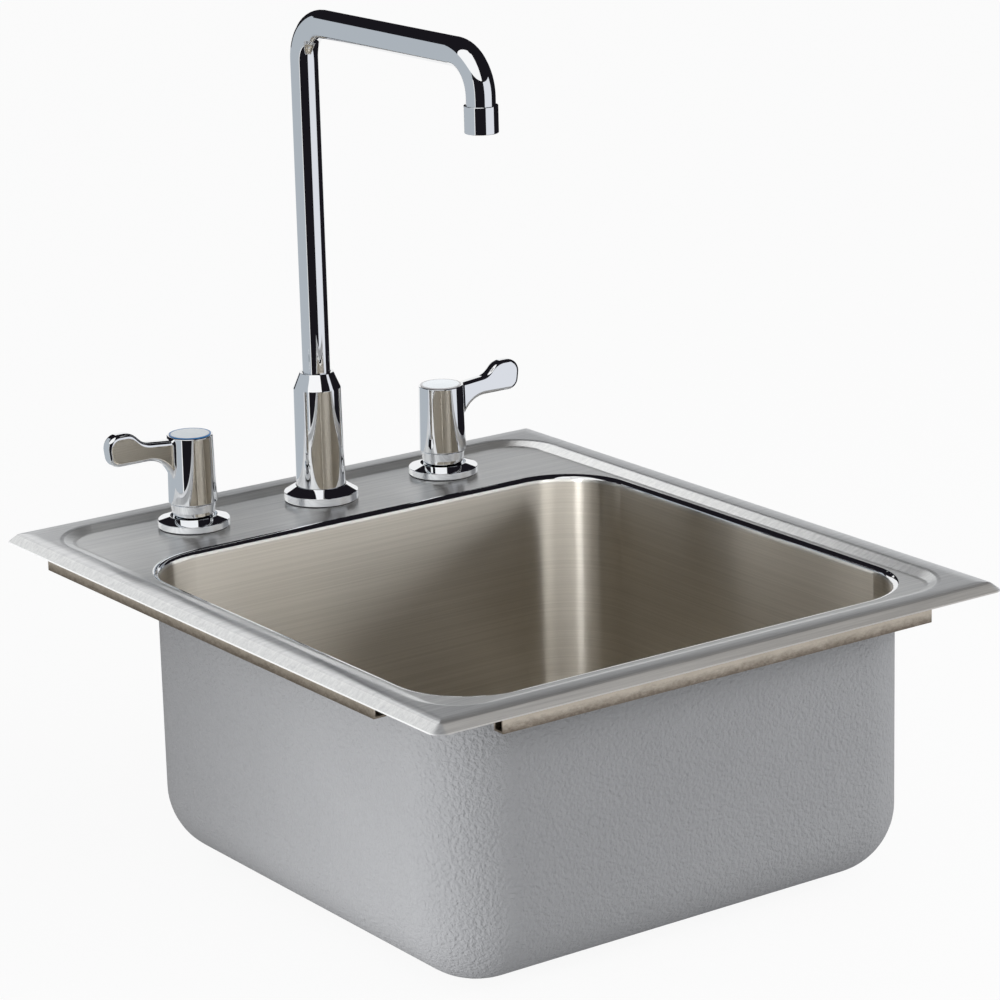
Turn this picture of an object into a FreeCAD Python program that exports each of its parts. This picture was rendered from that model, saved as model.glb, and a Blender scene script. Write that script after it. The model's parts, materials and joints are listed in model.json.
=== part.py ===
"""Top-mount stainless sink with a widespread two-handle faucet, as a parametric document.

Millimetres. X runs to the right seen from the front, Y to the back, Z up. The origin is the
centre of the rim's seat, the plane where the rim lies on the worktop.
"""
import FreeCAD, Part
import math
import os
import re

import Sketcher

# Driving dimensions, one cell each

SIZES = {
    # drawn steel shell
    "sheet_thickness": 1.2,
    "sink_width": 431.8,
    "sink_length": 508.0,
    "rim_corner": 8.6,
    "rim_height": 5.2,
    "bevel_width": 6.6,
    "seat_land": 1.8,
    "rim_band": 18.5,
    "rim_crease": 4.5,
    "ramp_width": 10.0,
    "ramp_blend": 6.0,
    "pan_drop": 3.6,
    "pan_corner": 23.0,
    "ramp_corner": 38.0,
    "deck_side": 6.9,
    "deck_front": 9.4,
    "deck_back": 80.6,
    "bowl_corner": 47.5,
    "bowl_depth": 190.5,
    "bowl_floor_radius": 44.5,
    "bowl_lip_radius": 4.5,
    "dish_margin": 10.0,
    "dish_drop": 2.0,
    "drain_seat_radius": 57.2,
    "drain_seat_drop": 2.2,
    "drain_radius": 44.45,
    # sprayed coat under the bowl
    "coat_thickness": 0.8,
    "coat_gap": 0.05,
    "coat_top": 6.0,
    "coat_drain_margin": 6.0,
    # rails welded under the rim
    "rail_inset": 10.0,
    "rail_thickness": 1.2,
    "rail_flange": 7.0,
    "rail_drop": 12.5,
    "rail_lip": 9.0,
    "rail_hook": 5.0,
    "side_rail_front_gap": 79.2,
    "side_rail_back_gap": 41.8,
    "end_rail_gap": 52.9,
    # faucet row and its clamping pieces
    "row_setback": 27.5,
    "valve_spacing": 101.6,
    "deck_hole_radius": 17.45,
    "deck_gasket": 0.7,
    "deck_gasket_inset": 0.8,
    "fit_gap": 0.05,
    "run_gap": 0.08,
    "part_gap": 0.3,
    "edge_break": 0.5,
    "clamp_seal": 2.0,
    "clamp_washer": 1.6,
    "clamp_radius": 23.0,
    "lock_nut_across": 41.0,
    "lock_nut_height": 8.0,
    # spout post and swivel
    "spout_flange_radius": 25.4,
    "spout_band": 5.5,
    "spout_cone": 4.6,
    "flange_ledge": 1.6,
    "post_base_radius": 17.0,
    "post_top_radius": 16.4,
    "post_shoulder": 78.9,
    "post_height": 89.8,
    "post_throat_radius": 11.7,
    "post_throat_length": 8.0,
    "post_thread": 28.0,
    "socket_radius": 12.4,
    "spout_shank_radius": 12.7,
    "spout_bore": 7.0,
    "shank_nose": 6.0,
    "spigot_length": 26.0,
    "seal_groove_width": 2.6,
    "seal_groove_depth": 1.7,
    "seal_spacing": 9.0,
    "seal_section": 0.95,
    # spout tube and outlet
    "tube_radius": 9.525,
    "tube_wall": 1.2,
    "spout_rise": 329.2,
    "spout_reach": 203.2,
    "bend_radius": 25.4,
    "outlet_drop": 48.0,
    "collar_radius": 11.0,
    "collar_length": 17.5,
    "collar_wall": 1.6,
    "collar_lip": 1.4,
    "tube_engagement": 9.0,
    "washer_section": 1.6,
    "jet_radius": 0.8,
    "jet_ring_radius": 3.0,
    "jet_ring_count": 6,
    "jet_outer_ring_radius": 6.2,
    "jet_outer_ring_count": 12,
    # valves
    "valve_flange_radius": 24.15,
    "valve_band": 4.6,
    "valve_cone": 2.6,
    "bonnet_radius": 15.4,
    "bonnet_foot_radius": 14.0,
    "bonnet_ring": 9.2,
    "bonnet_skirt": 2.0,
    "bonnet_lip": 2.2,
    "valve_shank_radius": 15.9,
    "valve_thread": 34.0,
    "valve_body_radius": 14.4,
    "chamber_radius": 11.5,
    "chamber_depth": 30.0,
    "inlet_radius": 10.4,
    "inlet_length": 24.0,
    "inlet_drop": 95.0,
    "inlet_bore": 6.5,
    "disc_radius": 9.0,
    "disc_thickness": 3.0,
    "disc_room": 12.0,
    "disc_port_radius": 2.4,
    "disc_port_offset": 4.6,
    "stem_radius": 4.9,
    "stem_foot": 4.0,
    # crossover pipes
    "port_drop": 47.0,
    "port_radius": 8.5,
    "port_reach": 25.0,
    "pipe_radius": 4.76,
    "pipe_wall": 0.9,
    "pipe_engagement": 8.0,
    "union_across": 17.0,
    "union_length": 12.0,
    "tee_radius": 16.0,
    "tee_below": 13.0,
    "tee_above": 17.0,
    "tee_floor": 5.0,
    # handles
    "hub_gap": 0.4,
    "hub_radius": 15.6,
    "hub_foot_radius": 16.4,
    "hub_height": 46.0,
    "hub_wall": 2.6,
    "hub_skirt": 14.0,
    "hub_edge": 0.8,
    "stem_top_below": 14.0,
    "screw_web": 4.0,
    "screw_radius": 2.1,
    "screw_head_radius": 4.2,
    "screw_head_height": 3.2,
    "screw_length": 16.0,
    "index_radius": 14.1,
    "index_recess": 1.3,
    "index_rise": 0.5,
    "index_crown": 0.25,
    "index_ring_width": 1.3,
    "lever_root": 9.0,
    "lever_thickness": 9.5,
    "lever_edge": 3.0,
    "lever_flare": 4.0,
    "lever_web_drop": 34.0,
    "lever_heel_reach": 15.4,
    "lever_heel_radius": 20.0,
    "lever_under_drop": 12.3,
    "lever_toe_reach": 63.0,
    "lever_toe_radius": 8.0,
    "lever_tip_reach": 65.8,
    "lever_tip_radius": 9.0,
    "lever_crest_reach": 46.0,
    "lever_crest_rise": 9.5,
    "lever_crest_radius": 13.0,
    "lever_saddle_reach": 37.0,
    "lever_saddle_rise": 0.8,
    "lever_saddle_radius": 12.0,
    "lever_top_drop": 1.9,
}

FUNCTIONS = {"min", "sqrt"}
NEAR = 1e-4

doc = FreeCAD.newDocument("TopMountSink")
sheet = doc.addObject("Spreadsheet::Sheet", "Sizes")
for row, (size, amount) in enumerate(SIZES.items(), start=1):
    sheet.set(f"A{row}", size)
    sheet.set(f"B{row}", str(amount))
    sheet.setAlias(f"B{row}", size)
doc.recompute()

# Places and heights that several pieces share, written as sums of the driving dimensions

PAN_INSET = "(rim_band + ramp_width)"
BOWL_X = f"(sink_width / 2 - {PAN_INSET} - deck_side)"
BOWL_Y = f"(sink_length / 2 - {PAN_INSET} - (deck_front + deck_back) / 2)"
BOWL_MIDDLE = "((deck_front - deck_back) / 2)"
DISH = f"(min({BOWL_X}; {BOWL_Y}) - bowl_floor_radius - dish_margin)"
ROW = f"(sink_length / 2 - {PAN_INSET} - row_setback)"
DECK = "(rim_height - pan_drop)"
DECK_UNDER = f"({DECK} - sheet_thickness)"
RIM_UNDER = "(rim_height - sheet_thickness)"
BOWL_FLOOR = f"({DECK} - bowl_depth)"
SEAT = f"({DECK} + deck_gasket)"
CLAMP_FACE = f"({DECK_UNDER} - clamp_seal - clamp_washer)"
PORT = f"({DECK_UNDER} - port_drop)"
POST_FOOT = f"({SEAT} + flange_ledge)"
POST_TOP = f"({DECK} + post_height)"
SOCKET_FLOOR = f"({SEAT} + post_thread)"
NOSE_TOP = f"({SOCKET_FLOOR} + shank_nose)"
SPIGOT_FOOT = f"({NOSE_TOP} + part_gap)"
SPIGOT_TOP = f"({SPIGOT_FOOT} + spigot_length)"
SPOUT_AXIS = f"({DECK} + spout_rise)"
OUTLET = f"({SPOUT_AXIS} - outlet_drop)"
COLLAR_TOP = f"({OUTLET} + collar_length)"
TUBE_END = f"({COLLAR_TOP} - tube_engagement)"
VALVE_FLANGE_TOP = f"({SEAT} + valve_band + valve_cone)"
VALVE_TOP = f"({VALVE_FLANGE_TOP} - bonnet_skirt)"
CHAMBER_FLOOR = f"({VALVE_TOP} - chamber_depth)"
BONNET_TOP = f"({VALVE_FLANGE_TOP} + bonnet_ring)"
CARTRIDGE_TOP = f"({BONNET_TOP} - bonnet_lip)"
HUB_FOOT = f"({BONNET_TOP} + hub_gap)"
HUB_TOP = f"({HUB_FOOT} + hub_height)"
STEM_TOP = f"({HUB_TOP} - stem_top_below)"
INDEX_SEAT = f"({HUB_TOP} - index_recess)"
INLET = f"({DECK_UNDER} - inlet_drop)"

parts = []


def bound(text):
    """The same sum with every size read from its cell."""
    return re.sub(
        r"[a-z]+(?:_[a-z]+)*",
        lambda word: word.group() if word.group() in FUNCTIONS else "Sizes." + word.group(),
        text,
    )


def number(text):
    """What a sum comes to with the present sizes."""
    return float(sheet.evalExpression(bound(text)))


def new_body(name):
    body = doc.addObject("PartDesign::Body", name)
    body.Label = name
    parts.append(body)
    return body


def place(body, x="", y="", turn=0):
    """Stand a piece at x, y in plan, turned about Z."""
    body.Placement = FreeCAD.Placement(
        FreeCAD.Vector(), FreeCAD.Rotation(FreeCAD.Vector(0, 0, 1), turn)
    )
    for axis, text in (("x", x), ("y", y)):
        if text:
            body.setExpression(f"Placement.Base.{axis}", bound(text))


def new_sketch(body, plane, height=""):
    """An empty sketch on one of the body's own planes, lifted along its normal."""
    sketch = body.newObject("Sketcher::SketchObject", f"{body.Name}_sketch")
    origin_plane = next(f for f in body.Origin.OriginFeatures if f.Role == plane)
    sketch.AttachmentSupport = [(origin_plane, "")]
    sketch.MapMode = "FlatFace"
    if height:
        sketch.setExpression("AttachmentOffset.Base.z", bound(height))
    return sketch


def pin_point(sketch, curve, point, x, y):
    """Hold one point of a curve at x, y."""
    for kind, text in (("DistanceX", x), ("DistanceY", y)):
        index = sketch.addConstraint(
            Sketcher.Constraint(kind, -1, 1, curve, point, number(text))
        )
        sketch.setExpression(f"Constraints[{index}]", bound(text))


def draw(sketch, corners, arcs=None, closed=True):
    """Join corners, given as sums, by lines, or by arcs of a radius: {corner: (radius, side)}.

    Side 1 puts the arc's middle on the left of the way to the next corner, and -1 on the right.
    """
    arcs = arcs or {}
    spots = [FreeCAD.Vector(number(x), number(y), 0) for x, y in corners]
    count = len(spots) if closed else len(spots) - 1
    ends = []
    for i in range(count):
        start, end = spots[i], spots[(i + 1) % len(spots)]
        if i not in arcs:
            curve = sketch.addGeometry(Part.LineSegment(start, end))
            ends.append((curve, 1, 2))
            continue
        radius, side = number(arcs[i][0]), arcs[i][1]
        half = (end - start) * 0.5
        left = FreeCAD.Vector(-half.y, half.x, 0).normalize()
        offset = math.sqrt(max(radius**2 - half.Length**2, 0))
        centre = start + half + left * offset * side
        angles = [math.atan2(p.y - centre.y, p.x - centre.x) for p in (start, end)]
        first, last = angles if side > 0 else reversed(angles)
        circle = Part.Circle(centre, FreeCAD.Vector(0, 0, 1), radius)
        curve = sketch.addGeometry(Part.ArcOfCircle(circle, first, last))
        ends.append((curve, 1, 2) if side > 0 else (curve, 2, 1))
        index = sketch.addConstraint(Sketcher.Constraint("Radius", curve, radius))
        sketch.setExpression(f"Constraints[{index}]", bound(arcs[i][0]))
    for i, (curve, start, end) in enumerate(ends):
        pin_point(sketch, curve, start, *corners[i])
        if closed or i + 1 < count:
            following = ends[(i + 1) % count]
            sketch.addConstraint(
                Sketcher.Constraint("Coincident", curve, end, following[0], following[1])
            )
    if not closed:
        pin_point(sketch, ends[-1][0], ends[-1][2], *corners[-1])
    return sketch


def circle(sketch, radius, x="0", y="0"):
    middle = FreeCAD.Vector(number(x), number(y), 0)
    round_curve = Part.Circle(middle, FreeCAD.Vector(0, 0, 1), number(radius))
    curve = sketch.addGeometry(round_curve)
    pin_point(sketch, curve, 3, x, y)
    index = sketch.addConstraint(Sketcher.Constraint("Radius", curve, number(radius)))
    sketch.setExpression(f"Constraints[{index}]", bound(radius))
    return sketch


def hexagon(sketch, across, x="0", y="0"):
    """Six flats, two of them square to the sketch's own X."""
    half, corner = f"{across} / 2", f"{across} / (2 * sqrt(3))"
    point = f"{across} / sqrt(3)"
    around = [
        (half, f"-{corner}"), (half, corner), ("0", point),
        (f"-{half}", corner), (f"-{half}", f"-{corner}"), ("0", f"-{point}"),
    ]
    return draw(sketch, [(f"{x} + {px}", f"{y} + {py}") for px, py in around])


def rounded_rectangle(sketch, half_x, half_y, corner, y="0"):
    """A rectangle with round corners about x 0 and the given y."""
    near_x, near_y = f"{half_x} - {corner}", f"({half_y} - {corner})"
    low, high = f"{y} - {half_y}", f"{y} + {half_y}"
    corners = [
        (f"-({near_x})", low), (near_x, low),
        (half_x, f"{y} - {near_y}"), (half_x, f"{y} + {near_y}"),
        (near_x, high), (f"-({near_x})", high),
        (f"-({half_x})", f"{y} + {near_y}"), (f"-({half_x})", f"{y} - {near_y}"),
    ]
    return draw(sketch, corners, {i: (corner, 1) for i in (1, 3, 5, 7)})


def feature(body, kind, profile, **settings):
    """A sketched feature. Text settings are sums bound to the sheet."""
    made = body.newObject(f"PartDesign::{kind}", f"{body.Name}_{kind}")
    made.Profile = profile
    for name, setting in settings.items():
        if isinstance(setting, str) and name in ("Length", "Length2", "Angle"):
            made.setExpression(name, bound(setting))
        else:
            setattr(made, name, setting)
    profile.Visibility = False
    doc.recompute()
    return made


def revolve(body, corners, cut=False):
    """Turn a half section, given as radius and height, about the body's own Z."""
    sketch = draw(new_sketch(body, "XZ_Plane"), corners)
    kind = "Groove" if cut else "Revolution"
    return feature(body, kind, sketch, ReferenceAxis=(sketch, ["V_Axis"]), Angle=360.0)


def loft(body, lower, upper, cut=False):
    kind = "SubtractiveLoft" if cut else "AdditiveLoft"
    return feature(body, kind, lower, Sections=[upper], Ruled=True)


def round_edges(body, radius, wanted):
    """Fillet the edges of the present solid that the test picks."""
    base = body.Tip
    names = [
        f"Edge{i}" for i, edge in enumerate(base.Shape.Edges, start=1) if wanted(edge)
    ]
    made = body.newObject("PartDesign::Fillet", f"{body.Name}_Fillet")
    made.Base = (base, names)
    made.setExpression("Radius", bound(radius))
    doc.recompute()
    return made


def level(edge, height):
    """Does an edge lie in the plane z = height?"""
    box = edge.BoundBox
    return abs(box.ZMin - height) < NEAR and abs(box.ZMax - height) < NEAR


def on_frame(height, half_x, half_y, y="0"):
    """A test for the edges of a level rounded rectangle about x 0 and the given y."""
    z, x_reach, y_reach, middle = (number(text) for text in (height, half_x, half_y, y))

    def wanted(edge):
        box = edge.BoundBox
        out_x = max(abs(box.XMin), abs(box.XMax))
        out_y = max(abs(box.YMin - middle), abs(box.YMax - middle))
        return level(edge, z) and (abs(out_x - x_reach) < NEAR or abs(out_y - y_reach) < NEAR)

    return wanted


def across_at(x, z):
    """A test for an edge that runs along Y through x, z."""
    return lambda edge: (
        edge.BoundBox.YLength > NEAR
        and max(abs(edge.BoundBox.XMin - x), abs(edge.BoundBox.XMax - x)) < NEAR
        and max(abs(edge.BoundBox.ZMin - z), abs(edge.BoundBox.ZMax - z)) < NEAR
    )


def ring_at(radius, height):
    """A test for a round edge of that radius about the body's own Z."""
    reach, z = number(radius), number(height)
    return lambda edge: level(edge, z) and abs(edge.BoundBox.XMax - reach) < NEAR


def break_edges(body, rings):
    """Take the sharpness off turned edges, each given as radius and height."""
    for radius, height in rings:
        round_edges(body, "edge_break", ring_at(radius, height))


def turned_part(name, corners, x="", broken=()):
    """A piece that is one turned section, standing on the faucet row."""
    body = new_body(name)
    revolve(body, corners)
    break_edges(body, broken)
    place(body, x, ROW)
    return body


def ring_corners(inner, outer, foot, top):
    return [(inner, foot), (outer, foot), (outer, top), (inner, top)]


# Drawn steel shell

def bowl_form(body, offset, top):
    """The bowl with its floor, dish and drain seat, grown by an offset from the inside face."""
    half_x, half_y = f"({BOWL_X} + {offset})", f"({BOWL_Y} + {offset})"
    floor = f"({BOWL_FLOOR} - {offset})"
    plan = new_sketch(body, "XY_Plane", top)
    rounded_rectangle(plan, half_x, half_y, f"(bowl_corner + {offset})", BOWL_MIDDLE)
    feature(body, "Pad", plan, Length=f"{top} - {floor}", Reversed=True)
    floor_height = number(floor)
    round_edges(body, f"bowl_floor_radius + {offset}", lambda edge: level(edge, floor_height))
    step = f"({floor} - dish_drop)"
    seat = f"({step} - drain_seat_drop)"
    wide, narrow = f"{DISH} + {offset}", f"drain_seat_radius + {offset}"
    section = [("0", floor), (wide, floor), (narrow, step), (narrow, seat), ("0", seat)]
    dish = draw(new_sketch(body, "XZ_Plane", f"0 - {BOWL_MIDDLE}"), section)
    feature(body, "Revolution", dish, ReferenceAxis=(dish, ["V_Axis"]), Angle=360.0)


def cut_bowl(body, offset, top):
    """Take the bowl's form, grown by an offset, out of a piece."""
    tool = doc.addObject("PartDesign::Body", f"{body.Name}_hollow")
    bowl_form(tool, offset, top)
    hollow = body.newObject("PartDesign::Boolean", f"{body.Name}_Boolean")
    hollow.Type = "Cut"
    hollow.addObjects([tool])
    doc.recompute()


def sink_shell():
    """Rim, recessed deck and bowl, drawn from one sheet."""
    body = new_body("sink_shell")
    half_x, half_y = "sink_width / 2", "sink_length / 2"

    def rim_frame(height, inset, corner):
        return rounded_rectangle(
            new_sketch(body, "XY_Plane", height),
            f"({half_x} - {inset})", f"({half_y} - {inset})", f"({corner})",
        )

    loft(
        body,
        rim_frame("0", "0", "rim_corner"),
        rim_frame("rim_height", "bevel_width", "rim_corner - bevel_width"),
    )
    under_bevel = f"(seat_land + bevel_width * {RIM_UNDER} / rim_height)"
    loft(
        body,
        rim_frame("0", "seat_land", "rim_corner - seat_land"),
        rim_frame(RIM_UNDER, under_bevel, f"rim_corner - {under_bevel}"),
        cut=True,
    )
    loft(
        body,
        rim_frame(DECK_UNDER, PAN_INSET, "pan_corner"),
        rim_frame(RIM_UNDER, "rim_band", "ramp_corner"),
    )
    bowl_form(body, "sheet_thickness", DECK_UNDER)
    loft(
        body,
        rim_frame("rim_height", "rim_band", "ramp_corner"),
        rim_frame(DECK, PAN_INSET, "pan_corner"),
        cut=True,
    )
    cut_bowl(body, "0", DECK)

    under_x, under_y = f"{BOWL_X} + sheet_thickness", f"{BOWL_Y} + sheet_thickness"
    round_edges(body, "bowl_lip_radius", on_frame(DECK, BOWL_X, BOWL_Y, BOWL_MIDDLE))
    round_edges(
        body, "bowl_lip_radius - sheet_thickness",
        on_frame(DECK_UNDER, under_x, under_y, BOWL_MIDDLE),
    )
    for radius, height, inset in (
        ("ramp_blend", "rim_height", "rim_band"),
        ("ramp_blend", DECK, PAN_INSET),
        ("rim_crease", "rim_height", "bevel_width"),
    ):
        round_edges(body, radius, on_frame(height, f"{half_x} - {inset}", f"{half_y} - {inset}"))
    holes = new_sketch(body, "XY_Plane", "rim_height")
    for x in ("-valve_spacing", "0", "valve_spacing"):
        circle(holes, "deck_hole_radius", x, ROW)
    feature(body, "Pocket", holes, Length=f"rim_height - {DECK_UNDER} + sheet_thickness")
    drain = circle(new_sketch(body, "XY_Plane", BOWL_FLOOR), "drain_radius", "0", BOWL_MIDDLE)
    feature(body, "Pocket", drain, Type="ThroughAll")


def sound_coat():
    """Sprayed coat that deadens the sound of the bowl, short of the drain seat."""
    body = new_body("sound_coat")
    inner = "(sheet_thickness + coat_gap)"
    outer = f"({inner} + coat_thickness)"
    top = "(0 - coat_top)"
    bowl_form(body, outer, top)
    cut_bowl(body, inner, top)
    drain = circle(
        new_sketch(body, "XY_Plane", BOWL_FLOOR),
        "drain_seat_radius + coat_drain_margin", "0", BOWL_MIDDLE,
    )
    feature(body, "Pocket", drain, Type="ThroughAll")


def mounting_rail(name, length, x, y, turn):
    """Channel under one side of the rim, open towards the bowl, with a hook for clips."""
    body = new_body(name)
    low = "(0 - rail_drop)"
    section = [
        ("0", RIM_UNDER), ("0", low), ("rail_lip", low), ("rail_lip", f"{low} + rail_hook"),
        ("rail_lip - rail_thickness", f"{low} + rail_hook"),
        ("rail_lip - rail_thickness", f"{low} + rail_thickness"),
        ("rail_thickness", f"{low} + rail_thickness"),
        ("rail_thickness", f"{RIM_UNDER} - rail_thickness"),
        ("rail_flange", f"{RIM_UNDER} - rail_thickness"), ("rail_flange", RIM_UNDER),
    ]
    profile = draw(new_sketch(body, "XZ_Plane"), section)
    feature(body, "Pad", profile, Length=length, Midplane=True)
    place(body, x, y, turn)


def mounting_rails():
    side = "(sink_width / 2 - rail_inset)"
    end = "(sink_length / 2 - rail_inset)"
    side_length = "sink_length - side_rail_front_gap - side_rail_back_gap"
    side_middle = "(side_rail_front_gap - side_rail_back_gap) / 2"
    end_length = "sink_width - 2 * end_rail_gap"
    mounting_rail("rail_left", side_length, f"-{side}", side_middle, 0)
    mounting_rail("rail_right", side_length, side, side_middle, 180)
    mounting_rail("rail_front", end_length, "", f"-{end}", 90)
    mounting_rail("rail_back", end_length, "", end, -90)


# Pieces that clamp a threaded shank to the deck

def deck_clamp(prefix, shank, x):
    """Seal, washer and lock nut under the deck."""
    bore = f"{shank} + part_gap"
    seal_foot = f"{DECK_UNDER} - clamp_seal"
    turned_part(
        f"{prefix}_clamp_seal", ring_corners(bore, "clamp_radius", seal_foot, DECK_UNDER), x
    )
    turned_part(
        f"{prefix}_clamp_washer", ring_corners(bore, "clamp_radius", CLAMP_FACE, seal_foot), x
    )
    nut = new_body(f"{prefix}_lock_nut")
    plan = new_sketch(nut, "XY_Plane", CLAMP_FACE)
    hexagon(plan, "lock_nut_across")
    circle(plan, f"{shank} + fit_gap")
    feature(nut, "Pad", plan, Length="lock_nut_height", Reversed=True)
    place(nut, x, ROW)


def flange_corners(radius, bore, band, cone):
    """Section of a cover with an upright band and a cone up to the piece that it surrounds."""
    rim, top = f"{SEAT} + {band}", f"{SEAT} + {band} + {cone}"
    return [(bore, SEAT), (radius, SEAT), (radius, rim), (f"{bore} + part_gap", top), (bore, top)]


def deck_gasket(name, x, radius):
    outer = f"{radius} - deck_gasket_inset"
    turned_part(name, ring_corners("deck_hole_radius", outer, DECK, SEAT), x)


# Spout

def spout_post():
    bore, throat = "spout_shank_radius + fit_gap", f"{POST_TOP} - post_throat_length"
    clear = "tube_radius + part_gap"
    turned_part(
        "spout_post",
        [
            (bore, POST_FOOT), ("post_base_radius", POST_FOOT),
            ("post_base_radius", f"{SEAT} + spout_band"),
            ("post_top_radius", f"{DECK} + post_shoulder"), ("post_throat_radius", POST_TOP),
            (clear, POST_TOP), (clear, throat), ("socket_radius", throat),
            ("socket_radius", SOCKET_FLOOR), (bore, SOCKET_FLOOR),
        ],
        broken=[("post_top_radius", f"{DECK} + post_shoulder"), ("post_throat_radius", POST_TOP)],
    )


def spout_fixings():
    """What holds the post to the deck and lets the tube turn in it."""
    deck_gasket("spout_deck_gasket", "", "spout_flange_radius")
    collar, hole = "(post_base_radius + part_gap)", "spout_shank_radius + part_gap"
    cover = flange_corners("spout_flange_radius", collar, "spout_band", "spout_cone")
    turned_part(
        "spout_flange", cover[1:] + [(collar, POST_FOOT), (hole, POST_FOOT), (hole, SEAT)],
        broken=cover[1:3],
    )
    shank_foot = f"{PORT} + port_radius"
    turned_part(
        "spout_shank",
        [
            ("spout_bore", shank_foot), ("spout_shank_radius", shank_foot),
            ("spout_shank_radius", SOCKET_FLOOR), ("socket_radius - fit_gap", SOCKET_FLOOR),
            ("socket_radius - fit_gap", NOSE_TOP), ("spout_bore", NOSE_TOP),
        ],
    )
    deck_clamp("spout", "spout_shank_radius", "")
    turned_part(
        "swivel_bushing",
        ring_corners(
            "tube_radius + run_gap", "socket_radius - fit_gap",
            f"{SPIGOT_TOP} + part_gap", f"{POST_TOP} - post_throat_length",
        ),
    )
    thread = "spout_shank_radius + fit_gap"
    tee_foot, tee_top = f"{PORT} - tee_below", f"{PORT} + tee_above"
    tee = turned_part(
        "mixing_tee",
        [
            ("0", tee_foot), ("tee_radius", tee_foot), ("tee_radius", tee_top), (thread, tee_top),
            (thread, shank_foot), ("spout_bore", shank_foot),
            ("spout_bore", f"{tee_foot} + tee_floor"), ("0", f"{tee_foot} + tee_floor"),
        ],
    )
    side_port(tee, "spout_bore", both=True)


def side_port(body, waterway, both=False):
    """Boss along X for a crossover pipe, on one side or both, bored through to the waterway."""
    boss = circle(new_sketch(body, "YZ_Plane"), "port_radius", "0", PORT)
    bore = circle(new_sketch(body, "YZ_Plane"), "pipe_radius + fit_gap", "0", PORT)
    if both:
        feature(body, "Pad", boss, Length="2 * port_reach", Midplane=True)
        hollow_again(body, waterway)
        feature(body, "Pocket", bore, Length="2 * port_reach", Midplane=True)
    else:
        feature(body, "Pad", boss, Length="port_reach")
        hollow_again(body, waterway)
        feature(body, "Pocket", bore, Length="port_reach", Reversed=True)


def hollow_again(body, waterway):
    """Clear the upright waterway that the boss has just crossed."""
    sketch = circle(new_sketch(body, "XY_Plane", f"{PORT} + port_radius"), waterway)
    feature(body, "Pocket", sketch, Length="2 * port_radius")


def spout_tube():
    """Riser, arm and outlet bent from one tube."""
    body = new_body("spout_tube")
    spine = new_sketch(body, "YZ_Plane")
    turn_in, turn_out = f"{SPOUT_AXIS} - bend_radius", "0 - spout_reach"
    draw(
        spine,
        [
            ("0", SPIGOT_FOOT), ("0", turn_in), ("0 - bend_radius", SPOUT_AXIS),
            (f"{turn_out} + bend_radius", SPOUT_AXIS), (turn_out, turn_in), (turn_out, TUBE_END),
        ],
        {1: ("bend_radius", 1), 3: ("bend_radius", 1)}, closed=False,
    )
    section = new_sketch(body, "XY_Plane", SPIGOT_FOOT)
    circle(section, "tube_radius")
    circle(section, "tube_radius - tube_wall")
    feature(body, "AdditivePipe", section, Spine=(spine, []))
    place(body, "", ROW)


def spout_swivel():
    """Spigot on the foot of the tube, with two seals in its grooves."""
    skin, groove = "socket_radius - part_gap", "socket_radius - part_gap - seal_groove_depth"
    bore = "tube_radius + fit_gap"
    middle = f"({SPIGOT_FOOT} + spigot_length / 2)"
    corners = [(bore, SPIGOT_FOOT), (skin, SPIGOT_FOOT)]
    seals = (f"({middle} - seal_spacing / 2)", f"({middle} + seal_spacing / 2)")
    for seal in seals:
        low, high = f"{seal} - seal_groove_width / 2", f"{seal} + seal_groove_width / 2"
        corners += [(skin, low), (groove, low), (groove, high), (skin, high)]
    turned_part("swivel_spigot", corners + [(skin, SPIGOT_TOP), (bore, SPIGOT_TOP)])
    rings = []
    for seal in seals:
        ring = doc.addObject("Part::Torus", "seal_ring")
        ring.setExpression("Radius1", bound("socket_radius - fit_gap - seal_section"))
        ring.setExpression("Radius2", bound("seal_section"))
        ring.setExpression("Placement.Base.y", bound(ROW))
        ring.setExpression("Placement.Base.z", bound(seal))
        rings.append(ring)
    pair = doc.addObject("Part::Compound", "swivel_seals")
    pair.Label = "swivel_seals"
    pair.Links = rings
    parts.append(pair)


def outlet_part(name, corners, broken=()):
    body = new_body(name)
    revolve(body, corners)
    break_edges(body, broken)
    place(body, "", f"{ROW} - spout_reach")
    return body


def spout_outlet():
    """Collar, washer and jet plate at the end of the spout."""
    bore = "(collar_radius - collar_wall)"
    mouth = f"{bore} - collar_lip"
    ledge = f"({OUTLET} + collar_lip)"
    outlet_part(
        "aerator_collar",
        [
            (mouth, OUTLET), ("collar_radius", OUTLET), ("collar_radius", COLLAR_TOP),
            ("tube_radius + fit_gap", COLLAR_TOP), ("tube_radius + fit_gap", TUBE_END),
            (bore, TUBE_END), (bore, ledge), (mouth, ledge),
        ],
        [("collar_radius", OUTLET), ("collar_radius", COLLAR_TOP)],
    )
    washer_foot, skin = f"({TUBE_END} - washer_section)", f"{bore} - fit_gap"
    outlet_part(
        "aerator_washer",
        ring_corners("tube_radius - tube_wall - washer_section", skin, washer_foot, TUBE_END),
    )
    plate = outlet_part("aerator_jet_plate", ring_corners("0", skin, ledge, washer_foot))
    add_jets(plate, washer_foot)


def add_jets(plate, top):
    """One jet in the middle and two rings of them round it."""
    middle = circle(new_sketch(plate, "XY_Plane", top), "jet_radius")
    feature(plate, "Pocket", middle, Type="ThroughAll")
    for ring_name in ("jet_ring", "jet_outer_ring"):
        jet = circle(new_sketch(plate, "XY_Plane", top), "jet_radius", f"{ring_name}_radius")
        hole = feature(plate, "Pocket", jet, Type="ThroughAll")
        ring = plate.newObject("PartDesign::PolarPattern", ring_name)
        ring.Originals = [hole]
        ring.Axis = (jet, ["N_Axis"])
        ring.Angle = 360.0
        ring.setExpression("Occurrences", bound(f"{ring_name}_count"))
        plate.Tip = ring
        doc.recompute()


# Valves and handles

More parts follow.
